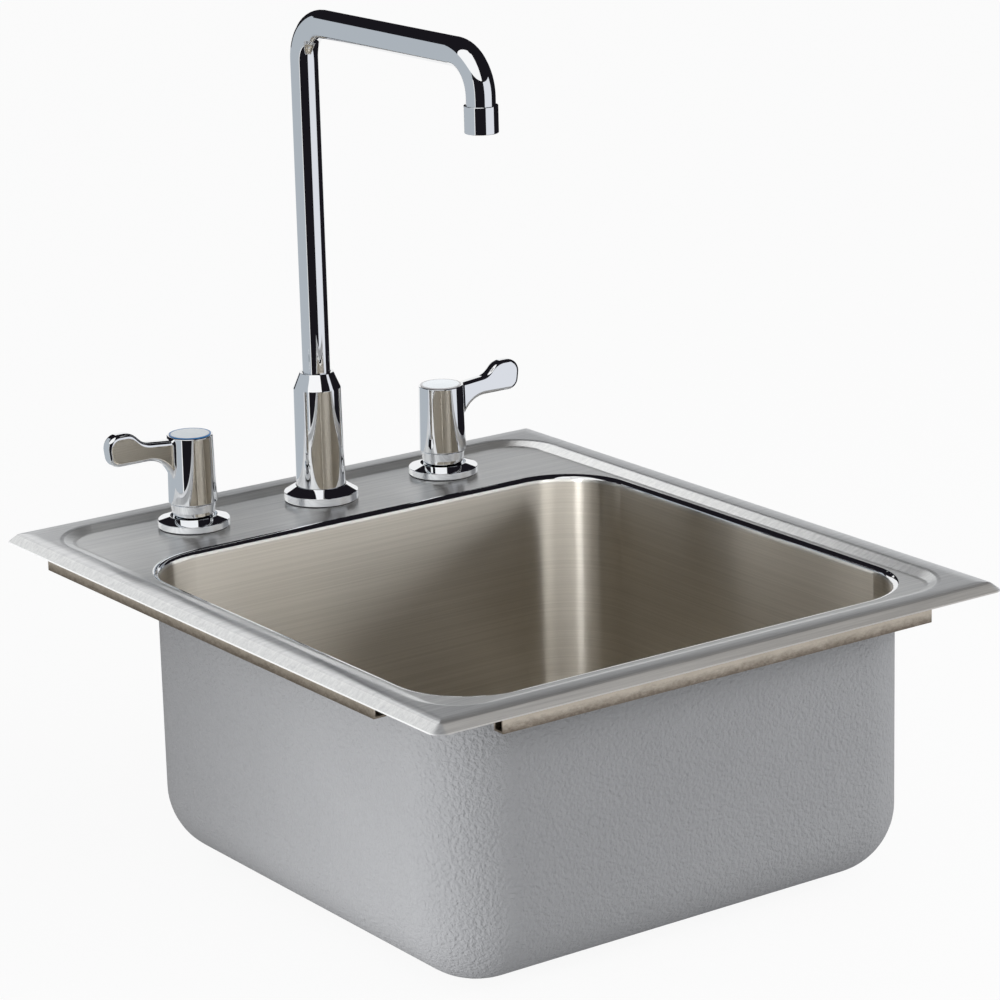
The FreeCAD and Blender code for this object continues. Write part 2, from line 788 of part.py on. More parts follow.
def valve(side, x, turn):
    """One valve from its deck flange down to its inlet, with the outlet towards the spout."""
    deck_gasket(f"{side}_deck_gasket", x, "valve_flange_radius")
    thread = "valve_shank_radius + fit_gap"
    cover = flange_corners("valve_flange_radius", thread, "valve_band", "valve_cone")
    turned_part(f"{side}_flange", cover, x, cover[1:3])
    neck, thread_foot = f"{INLET} + inlet_length", f"{DECK_UNDER} - valve_thread"
    body = turned_part(
        f"{side}_valve_body",
        [
            ("inlet_bore", INLET), ("inlet_radius", INLET), ("inlet_radius", neck),
            ("valve_body_radius", neck), ("valve_body_radius", thread_foot),
            ("valve_shank_radius", thread_foot), ("valve_shank_radius", VALVE_TOP),
            ("chamber_radius", VALVE_TOP), ("chamber_radius", CHAMBER_FLOOR),
            ("inlet_bore", CHAMBER_FLOOR),
        ],
        x,
    )
    side_port(body, "inlet_bore")
    place(body, x, ROW, turn)
    deck_clamp(side, "valve_shank_radius", x)
    turned_part(
        f"{side}_bonnet",
        [
            ("chamber_radius", VALVE_TOP), ("bonnet_foot_radius", VALVE_TOP),
            ("bonnet_foot_radius", VALVE_FLANGE_TOP), ("bonnet_radius", BONNET_TOP),
            ("stem_radius + part_gap", BONNET_TOP), ("stem_radius + part_gap", CARTRIDGE_TOP),
            ("chamber_radius", CARTRIDGE_TOP),
        ],
        x,
        [("bonnet_radius", BONNET_TOP)],
    )
    room, roof = "disc_radius + part_gap", f"{CHAMBER_FLOOR} + disc_room"
    guide, skin = "stem_radius + run_gap", "chamber_radius - fit_gap"
    turned_part(
        f"{side}_cartridge",
        [
            (room, CHAMBER_FLOOR), (skin, CHAMBER_FLOOR), (skin, CARTRIDGE_TOP),
            (guide, CARTRIDGE_TOP), (guide, roof), (room, roof),
        ],
        x,
    )
    ported_disc(f"{side}_fixed_disc", x, CHAMBER_FLOOR, "disc_port_offset", "0")


def ported_disc(name, x, foot, port_x, port_y):
    """Ceramic disc with two ports across its middle."""
    top = f"({foot} + disc_thickness)"
    disc = turned_part(name, ring_corners("0", "disc_radius", foot, top), x)
    ports = new_sketch(disc, "XY_Plane", top)
    for sign in ("", "-"):
        circle(ports, "disc_port_radius", f"{sign}{port_x}", f"{sign}{port_y}")
    feature(disc, "Pocket", ports, Type="ThroughAll")


def crossover(side, x):
    """Pipe from a valve to the tee under the spout, with a union nut at each end."""
    pipe = new_body(f"{side}_crossover_pipe")
    reach = "valve_spacing - 2 * port_reach + 2 * pipe_engagement"
    section = new_sketch(pipe, "YZ_Plane")
    circle(section, "pipe_radius", "0", PORT)
    circle(section, "pipe_radius - pipe_wall", "0", PORT)
    feature(pipe, "Pad", section, Length=reach, Midplane=True)
    place(pipe, f"{x} / 2", ROW)
    nuts = new_body(f"{side}_union_nuts")
    joint = "(valve_spacing / 2 - port_reach)"
    for face, reverse in ((f"0 - {joint}", False), (joint, True)):
        plan = new_sketch(nuts, "YZ_Plane", face)
        hexagon(plan, "union_across", "0", PORT)
        circle(plan, "pipe_radius + fit_gap", "0", PORT)
        feature(nuts, "Pad", plan, Length="union_length", Reversed=reverse)
    place(nuts, f"{x} / 2", ROW)


def stem(side, x):
    """Turning half of the valve: its disc and the stem that the handle sits on."""
    disc_foot = f"({CHAMBER_FLOOR} + disc_thickness + run_gap)"
    ported_disc(f"{side}_turning_disc", x, disc_foot, "0", "disc_port_offset")
    foot = f"({disc_foot} + disc_thickness)"
    shoulder, hole = f"{foot} + stem_foot", f"{STEM_TOP} - screw_length"
    turned_part(
        f"{side}_stem",
        [
            ("0", foot), ("disc_radius - part_gap", foot), ("disc_radius - part_gap", shoulder),
            ("stem_radius", shoulder), ("stem_radius", STEM_TOP), ("screw_radius + fit_gap", STEM_TOP),
            ("screw_radius + fit_gap", hole), ("0", hole),
        ],
        x,
    )


def meets_hub(edge):
    """Does an edge run round the place where the paddle meets the hub's cone?"""
    foot, top = number(HUB_FOOT), number(HUB_TOP)
    wide, narrow = number("hub_foot_radius"), number("hub_radius")
    for spot in (vertex.Point for vertex in edge.Vertexes):
        share = (spot.z - foot) / (top - foot)
        skin = wide + (narrow - wide) * share
        if not NEAR < share < 1 - NEAR or abs(math.hypot(spot.x, spot.y) - skin) > NEAR:
            return False
    return True


def lever_handle(side, x, turn):
    """Cast lever: a flat paddle on a hub, hollow over the bonnet and bored for stem and screw."""
    body = new_body(f"{side}_handle")
    corners = [
        ("lever_root", f"{HUB_TOP} - lever_web_drop", ""),
        ("lever_heel_reach", f"{HUB_TOP} - lever_web_drop", ""),
        ("lever_heel_reach", f"{HUB_TOP} - lever_under_drop", "lever_heel_radius"),
        ("lever_toe_reach", f"{HUB_TOP} - lever_under_drop", "lever_toe_radius"),
        ("lever_tip_reach", f"{HUB_TOP} + lever_crest_rise", "lever_tip_radius"),
        ("lever_crest_reach", f"{HUB_TOP} + lever_crest_rise", "lever_crest_radius"),
        ("lever_saddle_reach", f"{HUB_TOP} + lever_saddle_rise", "lever_saddle_radius"),
        ("lever_root", f"{HUB_TOP} - lever_top_drop", ""),
    ]
    outline = draw(new_sketch(body, "XZ_Plane"), [(reach, rise) for reach, rise, _ in corners])
    feature(body, "Pad", outline, Length="lever_thickness", Midplane=True)
    for reach, rise, radius in corners:
        if radius:
            round_edges(body, radius, across_at(number(reach), number(rise)))
    root, cheek = number("lever_root"), number("lever_thickness / 2")
    round_edges(
        body, "lever_edge",
        lambda edge: edge.BoundBox.YLength < NEAR and edge.BoundBox.XMax > root + NEAR
        and abs(abs(edge.BoundBox.YMin) - cheek) < NEAR,
    )
    revolve(
        body,
        [("0", HUB_FOOT), ("hub_foot_radius", HUB_FOOT), ("hub_radius", HUB_TOP), ("0", HUB_TOP)],
    )
    hollow, cup = "hub_radius - hub_wall", f"{HUB_FOOT} + hub_skirt"
    grip, web_top = "stem_radius + fit_gap", f"{STEM_TOP} + screw_web"
    clear, well = "screw_radius + part_gap", "screw_head_radius + part_gap"
    dial = "index_radius + fit_gap"
    revolve(
        body,
        [
            ("0", HUB_FOOT), (hollow, HUB_FOOT), (hollow, cup), (grip, cup), (grip, STEM_TOP),
            (clear, STEM_TOP), (clear, web_top), (well, web_top), (well, INDEX_SEAT),
            (dial, INDEX_SEAT), (dial, HUB_TOP), ("0", HUB_TOP),
        ],
        cut=True,
    )
    round_edges(body, "hub_edge", ring_at("hub_radius", HUB_TOP))
    round_edges(body, "lever_flare", meets_hub)
    break_edges(body, [("hub_foot_radius", HUB_FOOT)])
    place(body, x, ROW, turn)
    screw_foot, head_top = f"{STEM_TOP} - screw_length + part_gap", f"{web_top} + screw_head_height"
    turned_part(
        f"{side}_handle_screw",
        [
            ("0", screw_foot), ("screw_radius", screw_foot), ("screw_radius", web_top),
            ("screw_head_radius", web_top), ("screw_head_radius", head_top), ("0", head_top),
        ],
        x,
    )
    plate, face = "index_radius - index_ring_width", f"{HUB_TOP} + index_rise"
    turned_part(
        f"{side}_index_disc",
        [("0", INDEX_SEAT), (plate, INDEX_SEAT), (plate, face), ("0", f"{face} + index_crown")],
        x,
    )
    ring = ring_corners(f"{plate} + fit_gap", "index_radius", INDEX_SEAT, face)
    turned_part(f"{side}_index_ring", ring, x)


sink_shell()
sound_coat()
mounting_rails()
spout_post()
spout_fixings()
spout_tube()
spout_swivel()
spout_outlet()
for side, x, inward in (("cold", "-valve_spacing", 0), ("hot", "valve_spacing", 180)):
    valve(side, x, inward)
    crossover(side, x)
    stem(side, x)
    lever_handle(side, x, inward + 180)

doc.recompute()
failed = [o.Name for o in doc.Objects if {"Invalid", "Error"} & set(o.State)]
failed += [p.Label for p in parts if p.Shape.isNull() or not p.Shape.isValid()]
if failed:
    raise RuntimeError(f"these objects failed: {failed}")
os.makedirs("parts", exist_ok=True)
for part in parts:
    part.Shape.exportStep(f"parts/{part.Label}.step")
    print(part.Label, len(part.Shape.Solids), round(part.Shape.Volume, 1))
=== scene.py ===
# %% [markdown]
# # Dressing a top-mount sink
#
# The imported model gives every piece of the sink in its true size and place: the drawn steel
# shell, the coat sprayed under it, the rails, the faucet and what clamps it to the deck. This
# lesson gives each piece the finish that it has on a workbench, and a studio to stand in.

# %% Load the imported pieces
import json
import math

import bmesh
import bpy
from mathutils import Matrix, Quaternion, Vector


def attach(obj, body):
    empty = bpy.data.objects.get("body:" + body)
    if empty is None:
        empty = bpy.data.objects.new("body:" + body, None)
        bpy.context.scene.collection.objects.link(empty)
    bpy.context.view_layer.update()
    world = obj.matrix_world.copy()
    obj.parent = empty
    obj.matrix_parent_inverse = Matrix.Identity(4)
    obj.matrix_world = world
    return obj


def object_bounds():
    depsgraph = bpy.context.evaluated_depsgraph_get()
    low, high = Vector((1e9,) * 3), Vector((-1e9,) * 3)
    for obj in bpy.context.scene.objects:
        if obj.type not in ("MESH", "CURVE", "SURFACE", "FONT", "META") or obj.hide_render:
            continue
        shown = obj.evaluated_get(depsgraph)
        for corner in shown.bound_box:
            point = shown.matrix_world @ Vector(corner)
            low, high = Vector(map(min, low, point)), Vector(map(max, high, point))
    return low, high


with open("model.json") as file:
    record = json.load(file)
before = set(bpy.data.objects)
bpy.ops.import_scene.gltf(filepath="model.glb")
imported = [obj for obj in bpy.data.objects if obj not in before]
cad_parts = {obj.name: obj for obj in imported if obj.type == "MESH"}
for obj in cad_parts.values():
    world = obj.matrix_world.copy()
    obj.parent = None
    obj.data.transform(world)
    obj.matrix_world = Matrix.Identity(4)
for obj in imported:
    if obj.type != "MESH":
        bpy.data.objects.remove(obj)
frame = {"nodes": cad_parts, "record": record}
cad_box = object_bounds()
pieces = frame["nodes"]
scene = bpy.context.scene

# %% [markdown]
# ## Camera
#
# The view comes from fitting the corners of the rim and the bowl to the photograph. A long lens
# stands well back, to the left of the sink's front and a little above it, and leans by a degree
# and a half. The aim is given as a shift across the view, so that the lens itself has none.

# %% Camera
AZIMUTH, ELEVATION, LEAN = (math.radians(angle) for angle in (-35.078, 15.91, -1.5))
DISTANCE, AIM_RIGHT, AIM_UP = 2.45832, 0.007387, 0.041767
LENS_MM, SENSOR_MM = 137.25, 36.0


def heading(azimuth, elevation):
    """The direction from the sink to a place in the studio."""
    flat = math.cos(elevation)
    return Vector((math.sin(azimuth) * flat, -math.cos(azimuth) * flat, math.sin(elevation)))


lens = bpy.data.cameras.new("photo_lens")
lens.lens, lens.sensor_width = LENS_MM, SENSOR_MM
camera = bpy.data.objects.new("photo_camera", lens)
camera.rotation_mode = "QUATERNION"
tilt = heading(AZIMUTH, ELEVATION).to_track_quat("Z", "Y") @ Quaternion((0, 0, 1), LEAN)
camera.rotation_quaternion = tilt
camera.location = tilt @ Vector((AIM_RIGHT, AIM_UP, DISTANCE))
scene.collection.objects.link(camera)
scene.camera = camera
scene.view_settings.view_transform = "Standard"
print("camera at", [round(x, 3) for x in camera.location])

# %% [markdown]
# ## Building a finish
#
# A finish is a material whose Principled shader is fed by a few texture nodes. Nodes can be
# placed by hand in the editor, but code can be read and run again. One helper adds a node with
# its settings, the other makes a material with its shader.

# %% Nodes and materials
finishes = {}


def add(tree, kind, links=None, values=None, **settings):
    """A node with its settings, its fixed values and what feeds it, by socket."""
    made = tree.nodes.new("ShaderNode" + kind)
    for name, setting in settings.items():
        setattr(made, name, setting)
    for socket, value in (values or {}).items():
        made.inputs[socket].default_value = value
    for socket, source in (links or {}).items():
        tree.links.new(made.inputs[socket], source)
    return made


def new_finish(name, **values):
    """A material, its node tree and its shader, with fixed values such as base_color."""
    material = bpy.data.materials.new(name)
    material.use_nodes = True
    tree = material.node_tree
    shader = tree.nodes["Principled BSDF"]
    for socket, value in values.items():
        shader.inputs[socket.replace("_", " ").title()].default_value = value
    return material, tree, shader


print("helpers for nodes and materials")

# %% [markdown]
# ## Patterns
#
# Scratches, pebbles and blotches are all noise, and what tells them apart is how far it is
# stretched. It could be painted on each unrolled piece, but noise on Object coordinates runs on
# from face to face. These are metres on this sink, so a scale is a number of waves in a metre.

# %% Patterns
def place_on(tree):
    """Where a point of the sink is, in metres."""
    return add(tree, "TexCoord").outputs["Object"]


def height_on(tree):
    """How far a point is above the rim's seat."""
    return add(tree, "SeparateXYZ", {"Vector": place_on(tree)}).outputs["Z"]


def grain(tree, waves, detail=3.0, roughness=0.6):
    """Noise with so many waves in a metre along X, Y and Z."""
    stretched = add(tree, "Mapping", {"Vector": place_on(tree)}, {"Scale": waves})
    noise = add(
        tree, "TexNoise", {"Vector": stretched.outputs["Vector"]},
        {"Scale": 1.0, "Detail": detail, "Roughness": roughness},
    )
    return noise.outputs["Fac"]


print("helpers for places and noise")

# %% [markdown]
# ## Sums
#
# A finish is often different in one part of a piece, such as the lip of a bowl. Painting a mask
# by hand would do, but a few sums on a point's place give an exact one. The helpers are for
# ranges, for single values and for places.

# %% Sums
def spread(tree, source, low, high, start=0.0, end=1.0):
    """A value taken from one range to another, held at the ends."""
    ranged = add(
        tree, "MapRange", {"Value": source},
        {"From Min": start, "From Max": end, "To Min": low, "To Max": high},
    )
    return ranged.outputs["Result"]


def maths(tree, operation, first, second=None):
    """One sum on two values, each a number or a socket."""
    made = add(tree, "Math", operation=operation)
    for index, value in enumerate((first, second)):
        if isinstance(value, (int, float)):
            made.inputs[index].default_value = value
        elif value is not None:
            tree.links.new(made.inputs[index], value)
    return made.outputs[0]


def places(tree, operation, first, second=(0.0, 0.0, 0.0)):
    """One sum on a place and a fixed one. A length or a distance comes out as a number."""
    made = add(tree, "VectorMath", {0: first}, {1: second}, operation=operation)
    return made.outputs["Value" if operation in ("LENGTH", "DISTANCE") else "Vector"]


print("helpers for sums")

# %% [markdown]
# ## Colour and relief
#
# A pattern becomes a finish when it moves between two colours or tilts the light. Relief this
# fine would take millions of faces, so a bump does it, with its depth in metres.

# %% Colour and relief
def tint(tree, share, first, second):
    """A colour between two, by share. Either may be a colour or a socket."""
    mixed = add(tree, "Mix", {"Factor": share}, data_type="RGBA")
    for socket, colour in (("A", first), ("B", second)):
        target = next(s for s in mixed.inputs if s.name == socket and s.type == "RGBA")
        if isinstance(colour, tuple):
            target.default_value = (*colour, 1.0)
        else:
            tree.links.new(target, colour)
    return next(s for s in mixed.outputs if s.type == "RGBA")


def bump(tree, shader, height, depth, strength=1.0):
    """Relief of so many metres at most, over any relief that the shader has already."""
    made = add(tree, "Bump", {"Height": height}, {"Strength": strength, "Distance": depth})
    for earlier in shader.inputs["Normal"].links:
        tree.links.new(made.inputs["Normal"], earlier.from_socket)
    tree.links.new(shader.inputs["Normal"], made.outputs["Normal"])


print("helpers for colour and relief")

# %% [markdown]
# ## Brushed steel: scratches
#
# The sheet is brushed before it is drawn, so on the rim and deck the scratches all run from side
# to side, also across the ramps and the bevels at the left and right. In the bowl they run level
# round the walls. A picture of scratches would need the sheet unrolled. Stretched noise doesn't:
# it is long in X on the deck and level on a wall, and the way that a face looks picks one.

# %% Scratches in the steel
DECK_TOP = 0.0016
BOWL_STARTS, BOWL_FULL = DECK_TOP - 0.002, DECK_TOP - 0.006
WALL_LEAN, DECK_LEAN = 0.35, 0.60
FAINTEST_SCRATCH, DEEPEST_SCRATCH = 0.32, 0.68

steel, tree, shader = new_finish("sink_steel", metallic=1.0, anisotropic=1.0)
place, height = place_on(tree), height_on(tree)
facing = add(tree, "SeparateXYZ", {"Vector": add(tree, "NewGeometry").outputs["Normal"]})
lean = maths(tree, "ABSOLUTE", facing.outputs["Z"])
upright = spread(tree, lean, 1.0, 0.0, WALL_LEAN, DECK_LEAN)
inside = spread(tree, height, 0.0, 1.0, BOWL_STARTS, BOWL_FULL)

deck_scratches = grain(tree, (9, 330, 330), detail=6.0, roughness=0.75)
wall_scratches = grain(tree, (4, 4, 950), detail=4.0, roughness=0.65)
scratches = add(tree, "Mix", {"Factor": upright, "A": deck_scratches, "B": wall_scratches})
scratches = spread(
    tree, scratches.outputs["Result"], 0.0, 1.0, FAINTEST_SCRATCH, DEEPEST_SCRATCH
)
print("scratches for the deck and the walls")

# %% [markdown]
# ## Brushed steel: polished lip
#
# The roll at the bowl's edge is polished to a mirror. A piece of its own could have a mirror's
# material, but the lip belongs to the sheet, so the steel finds it: by the height, and by the
# distance from the bowl's outline, a square with round corners.

# %% Polished lip
BOWL_HALF, BOWL_CORNER, BOWL_MIDDLE_Y = 0.1805, 0.0475, -0.0356
LIP_RADIUS = 0.0045
LIP_FROM, LIP_TO = LIP_RADIUS * 0.13, LIP_RADIUS * 0.99

corner_middle = BOWL_HALF - BOWL_CORNER
from_middle = places(tree, "SUBTRACT", place, (0.0, BOWL_MIDDLE_Y, 0.0))
quarter = places(tree, "ABSOLUTE", places(tree, "MULTIPLY", from_middle, (1.0, 1.0, 0.0)))
past_corner = places(tree, "SUBTRACT", quarter, (corner_middle, corner_middle, 0.0))
outward = places(tree, "LENGTH", places(tree, "MAXIMUM", past_corner))
from_outline = maths(tree, "SUBTRACT", outward, BOWL_CORNER)

lip = maths(
    tree, "MULTIPLY",
    maths(tree, "GREATER_THAN", from_outline, LIP_FROM),
    maths(tree, "LESS_THAN", from_outline, LIP_TO),
)
lip = maths(tree, "MULTIPLY", lip, maths(tree, "GREATER_THAN", height, DECK_TOP - LIP_RADIUS))
unpolished = maths(tree, "SUBTRACT", 1.0, lip)
print("polished lip of", round(1000 * LIP_RADIUS, 1), "mm round the bowl")

# %% [markdown]
# ## Brushed steel: colour
#
# Steel is nearly grey, and each scratch is paler or darker than the next. The bowl's walls light
# each other, and that light is painted into them as a warmer colour. The band round the rim is
# darker than the deck, the lip is bright, and a painted highlight brightens the rim's cut edge.
# One material mixes them, because the sheet has no seams.

# %% Colour of the steel
BAND_HEIGHT, EDGE_HEIGHT, RIM_REACH = 0.0046, 0.0006, 0.03
# BRIGHT is the polished lip's colour, and also the colour of the painted highlight on the rim's
# cut edge.
BRIGHT = (0.88, 0.89, 0.90)

# Painted highlight: a thin strip at the foot of the rim's bevel is painted bright.
painted_edge_highlight = maths(
    tree, "MULTIPLY",
    maths(tree, "GREATER_THAN", from_outline, RIM_REACH),
    maths(tree, "LESS_THAN", height, EDGE_HEIGHT),
)
band = maths(tree, "GREATER_THAN", height, BAND_HEIGHT)
deck_colour = tint(tree, scratches, (0.51, 0.52, 0.53), (0.73, 0.74, 0.74))
band_colour = tint(tree, scratches, (0.41, 0.42, 0.435), (0.61, 0.62, 0.63))
# Painted light: the bowl is painted warmer, for the light that its walls throw on each other.
bowl_colour_painted_warm = tint(tree, scratches, (0.575, 0.55, 0.505), (0.675, 0.645, 0.595))
colour = tint(tree, inside, tint(tree, band, deck_colour, band_colour), bowl_colour_painted_warm)
colour = tint(tree, maths(tree, "MAXIMUM", lip, painted_edge_highlight), colour, BRIGHT)
tree.links.new(shader.inputs["Base Color"], colour)
print("steel colours for the deck, the band, the bowl and the bright edges")

# %% [markdown]
# ## Brushed steel: shine
#
# Scratches spread a reflection square to themselves. Modelling each one would be hopeless, so the
# shader's anisotropy does it along a tangent: Y on the deck and Z on the walls. The roughness
# follows the scratches on the deck, is even in the bowl and falls to nothing on the lip.

# %% Shine of the steel
SATIN, CLOUDINESS, EVEN_SCRATCH = (0.29, 0.34), (-0.01, 0.01), (0.55, 0.55, 0.55)
SCRATCH_DEPTH, SCRATCH_STRENGTH, BOWL_RELIEF = 0.00003, 0.5, 0.35

clouds = spread(tree, grain(tree, (14, 14, 14), detail=2.0), *CLOUDINESS)
satin = spread(tree, tint(tree, inside, scratches, EVEN_SCRATCH), *SATIN)
satin = maths(tree, "MULTIPLY", maths(tree, "ADD", satin, clouds), unpolished)
tree.links.new(shader.inputs["Roughness"], satin)

across = add(tree, "Mix", {"Factor": upright}, data_type="VECTOR")
across.inputs[4].default_value, across.inputs[5].default_value = (0, 1, 0), (0, 0, 1)
tree.links.new(shader.inputs["Tangent"], across.outputs[1])

relief = maths(tree, "MULTIPLY", scratches, unpolished)
relief = maths(tree, "MULTIPLY", relief, spread(tree, inside, 1.0, BOWL_RELIEF))
bump(tree, shader, relief, SCRATCH_DEPTH, SCRATCH_STRENGTH)
print("satin from", SATIN[0], "to", SATIN[1])

# %% [markdown]
# ## Brushed steel: soft fold of the rim
#
# A press never folds a rim quite sharply: the flat band sinks over its last millimetres before
# the bevel. The solid has the fold's radius already. What is left is a slope of a few degrees,
# for which a bump is enough.

# %% Soft fold of the rim
RIM_HALF, BEVEL_WIDTH = (0.2159, 0.254, 0.0), 0.0066
FOLD_WIDTH, FOLD_DROP = 0.009, 0.0011

past_rim = places(tree, "SUBTRACT", places(tree, "ABSOLUTE", place), RIM_HALF)
past_rim = add(tree, "SeparateXYZ", {"Vector": past_rim})
past_rim = maths(tree, "MAXIMUM", past_rim.outputs["X"], past_rim.outputs["Y"])
fold = spread(tree, past_rim, 0.0, 1.0, -BEVEL_WIDTH - FOLD_WIDTH, -BEVEL_WIDTH)
fold = maths(tree, "MULTIPLY", maths(tree, "POWER", fold, 2.0), -1.0)
bump(tree, shader, fold, FOLD_DROP)
finishes["sink_steel"] = steel
print("brushed steel with", len(tree.nodes), "nodes")

# %% [markdown]
# ## Sprayed coat
#
# The grey coat under the bowl deadens the noise of water. It is sprayed on thick and dries like
# orange peel. Moving the faces would give pebbles too, but would swell the coat, so fine noise
# tilts the light, and broad noise makes the grey a little blotchy.

# %% Sprayed coat
PEBBLES, PEBBLE_DEPTH, PEBBLE_STRENGTH = 400, 0.0020, 0.9

coat, tree, shader = new_finish("sound_coat", roughness=0.62)
blotches = grain(tree, (9, 9, 9))
tone = tint(tree, blotches, (0.332, 0.337, 0.348), (0.380, 0.385, 0.396))
tree.links.new(shader.inputs["Base Color"], tone)
pebbles = grain(tree, (PEBBLES, PEBBLES, PEBBLES), detail=2.0, roughness=0.55)
bump(tree, shader, pebbles, PEBBLE_DEPTH, PEBBLE_STRENGTH)
finishes["sound_coat"] = coat
print("sprayed coat with pebbles of", round(1000 / PEBBLES, 1), "mm")

# %% [markdown]
# ## Chrome
#
# Plated brass is a plain mirror, so its roughness is zero. A perfect mirror looks drawn, though.
# What makes it look cast and polished is a very slight waviness under the plating.

# %% Chrome
WAVE_DEPTH, WAVE_STRENGTH = 0.00006, 0.25

chrome, tree, shader = new_finish("chrome", metallic=1.0, roughness=0.0)
sheen = grain(tree, (25, 25, 25), detail=2.0)
sheen = tint(tree, sheen, (0.90, 0.91, 0.925), (0.93, 0.94, 0.95))
tree.links.new(shader.inputs["Base Color"], sheen)
bump(tree, shader, grain(tree, (55, 55, 55), detail=1.0), WAVE_DEPTH, WAVE_STRENGTH)
finishes["chrome"] = chrome
print("chrome with waves of", WAVE_DEPTH * 1000, "mm at most")

# %% [markdown]
# ## Plain metals
#
# The rails keep the mill's straw-coloured skin. Under the deck the nuts, washers and pipes are
# turned brass, zinc-plated steel and drawn copper, and a disc of polished plate closes each
# handle. They differ in colour and in the run of their lathe or drawing marks, so one function
# makes them all.

# %% Plain metals
METALS = {
    # name: dark and light colour, waves in a metre, roughness, depth of the marks
    "rail_steel": ((0.38, 0.335, 0.275), (0.74, 0.675, 0.585), (40, 40, 500), 0.34, 0.00003),
    "brass": ((0.62, 0.43, 0.17), (0.80, 0.60, 0.28), (30, 30, 1500), 0.26, 0.00002),
    "copper": ((0.66, 0.32, 0.19), (0.84, 0.47, 0.31), (8, 900, 900), 0.24, 0.00001),
    "zinc_steel": ((0.52, 0.52, 0.50), (0.70, 0.70, 0.69), (500, 500, 500), 0.36, 0.00002),
    "index_plate": ((0.44, 0.47, 0.49), (0.52, 0.55, 0.57), (900, 900, 900), 0.16, 0.000005),
}
SMOOTHER, ROUGHER, MARK_STRENGTH = -0.06, 0.08, 0.5


def plain_metal(name, dark, light, waves, roughness, mark_depth):
    """A metal with marks and with patches of tarnish."""
    material, tree, shader = new_finish(name, metallic=1.0)
    marks, patches = grain(tree, waves, detail=4.0), grain(tree, (40, 40, 40))
    blend = add(tree, "Mix", {"A": marks, "B": patches}, {"Factor": 0.5}).outputs["Result"]
    tree.links.new(shader.inputs["Base Color"], tint(tree, blend, dark, light))
    dullness = spread(tree, blend, roughness + SMOOTHER, roughness + ROUGHER)
    tree.links.new(shader.inputs["Roughness"], dullness)
    bump(tree, shader, marks, mark_depth, MARK_STRENGTH)
    return material


for name, recipe in METALS.items():
    finishes[name] = plain_metal(name, *recipe)
print("metals:", list(METALS))

# %% [markdown]
# ## Plated valve bodies
#
# A valve's body is one casting that goes through the deck: bare brass below, and plated where it
# shows above. A copy of the brass turns to chrome at the height of the deck.

# %% Plated valve bodies
PLATING = (0.91, 0.92, 0.935)

plated = finishes["brass"].copy()
plated.name = "plated_brass"
tree = plated.node_tree
shader = tree.nodes["Principled BSDF"]
above = maths(tree, "GREATER_THAN", height_on(tree), DECK_TOP)
below = maths(tree, "SUBTRACT", 1.0, above)
bare_colour = shader.inputs["Base Color"].links[0].from_socket
bare_roughness = shader.inputs["Roughness"].links[0].from_socket
tree.links.new(shader.inputs["Base Color"], tint(tree, above, bare_colour, PLATING))
tree.links.new(shader.inputs["Roughness"], maths(tree, "MULTIPLY", bare_roughness, below))
print("brass plated above", 1000 * DECK_TOP, "mm")

# %% [markdown]
# ## Painted shade on the lower edge of the rails
#
# The lower edge of each rail is painted dark, as painted shade. A straight line would look drawn,
# so specks make the border ragged.

# %% Painted shade on the lower edge of the rails
RAIL_FOOT, DARKEST = -0.0125, 0.80
DARK_TO, SKIN_FROM = RAIL_FOOT + 0.0005, RAIL_FOOT + 0.0065
RAGGED, PAINTED_SHADE_COLOUR = (-0.004, 0.004), (0.10, 0.075, 0.055)

tree = finishes["rail_steel"].node_tree
shader = tree.nodes["Principled BSDF"]
specks = grain(tree, (260, 260, 500), detail=4.0, roughness=0.7)
level = maths(tree, "ADD", height_on(tree), spread(tree, specks, *RAGGED))
# Painted shade: towards the rail's foot, up to DARKEST of its colour turns to a dark brown.
dark = spread(tree, level, DARKEST, 0.0, DARK_TO, SKIN_FROM)
skin = shader.inputs["Base Color"].links[0].from_socket
tree.links.new(shader.inputs["Base Color"], tint(tree, dark, skin, PAINTED_SHADE_COLOUR))
print("rails dark up to", 1000 * DARK_TO, "mm")

# %% [markdown]
# ## Rubber, plastic, ceramic and enamel
#
# The gaskets and seals are moulded rubber. The spout's bearing and the aerator's jet plate are
# white acetal, and the discs that shut off the water are fired ceramic, lapped flat. The rings
# on the handles are filled with enamel. None of these has a direction, so even noise is enough,
# and only its fineness and the shine differ.

# %% Rubber, plastic, ceramic and enamel
SOLIDS = {
    # name: dark and light colour, waves in a metre, roughness, depth of the mottling
    "rubber": ((0.018, 0.018, 0.019), (0.035, 0.035, 0.036), 900, 0.62, 0.00005),
    "acetal": ((0.80, 0.79, 0.74), (0.87, 0.86, 0.82), 300, 0.38, 0.00002),
    "ceramic": ((0.86, 0.84, 0.80), (0.92, 0.91, 0.88), 700, 0.14, 0.00001),
    "cold_mark": ((0.006, 0.13, 0.36), (0.010, 0.17, 0.44), 400, 0.12, 0.00001),
    "hot_mark": ((0.50, 0.49, 0.50), (0.56, 0.55, 0.56), 400, 0.14, 0.00001),
}
MOTTLE_STRENGTH = 0.4

for name, (dark, light, waves, roughness, mottle_depth) in SOLIDS.items():
    finishes[name], tree, shader = new_finish(name, roughness=roughness)
    mottle = grain(tree, (waves, waves, waves))
    tree.links.new(shader.inputs["Base Color"], tint(tree, mottle, dark, light))
    bump(tree, shader, mottle, mottle_depth, MOTTLE_STRENGTH)
print("moulded and fired:", list(SOLIDS))

# %% [markdown]
# ## Giving each piece its finish
#
# The record that travels with the model says which finish each piece takes, so one loop does it.
# Only the valve bodies then change to the plated brass.

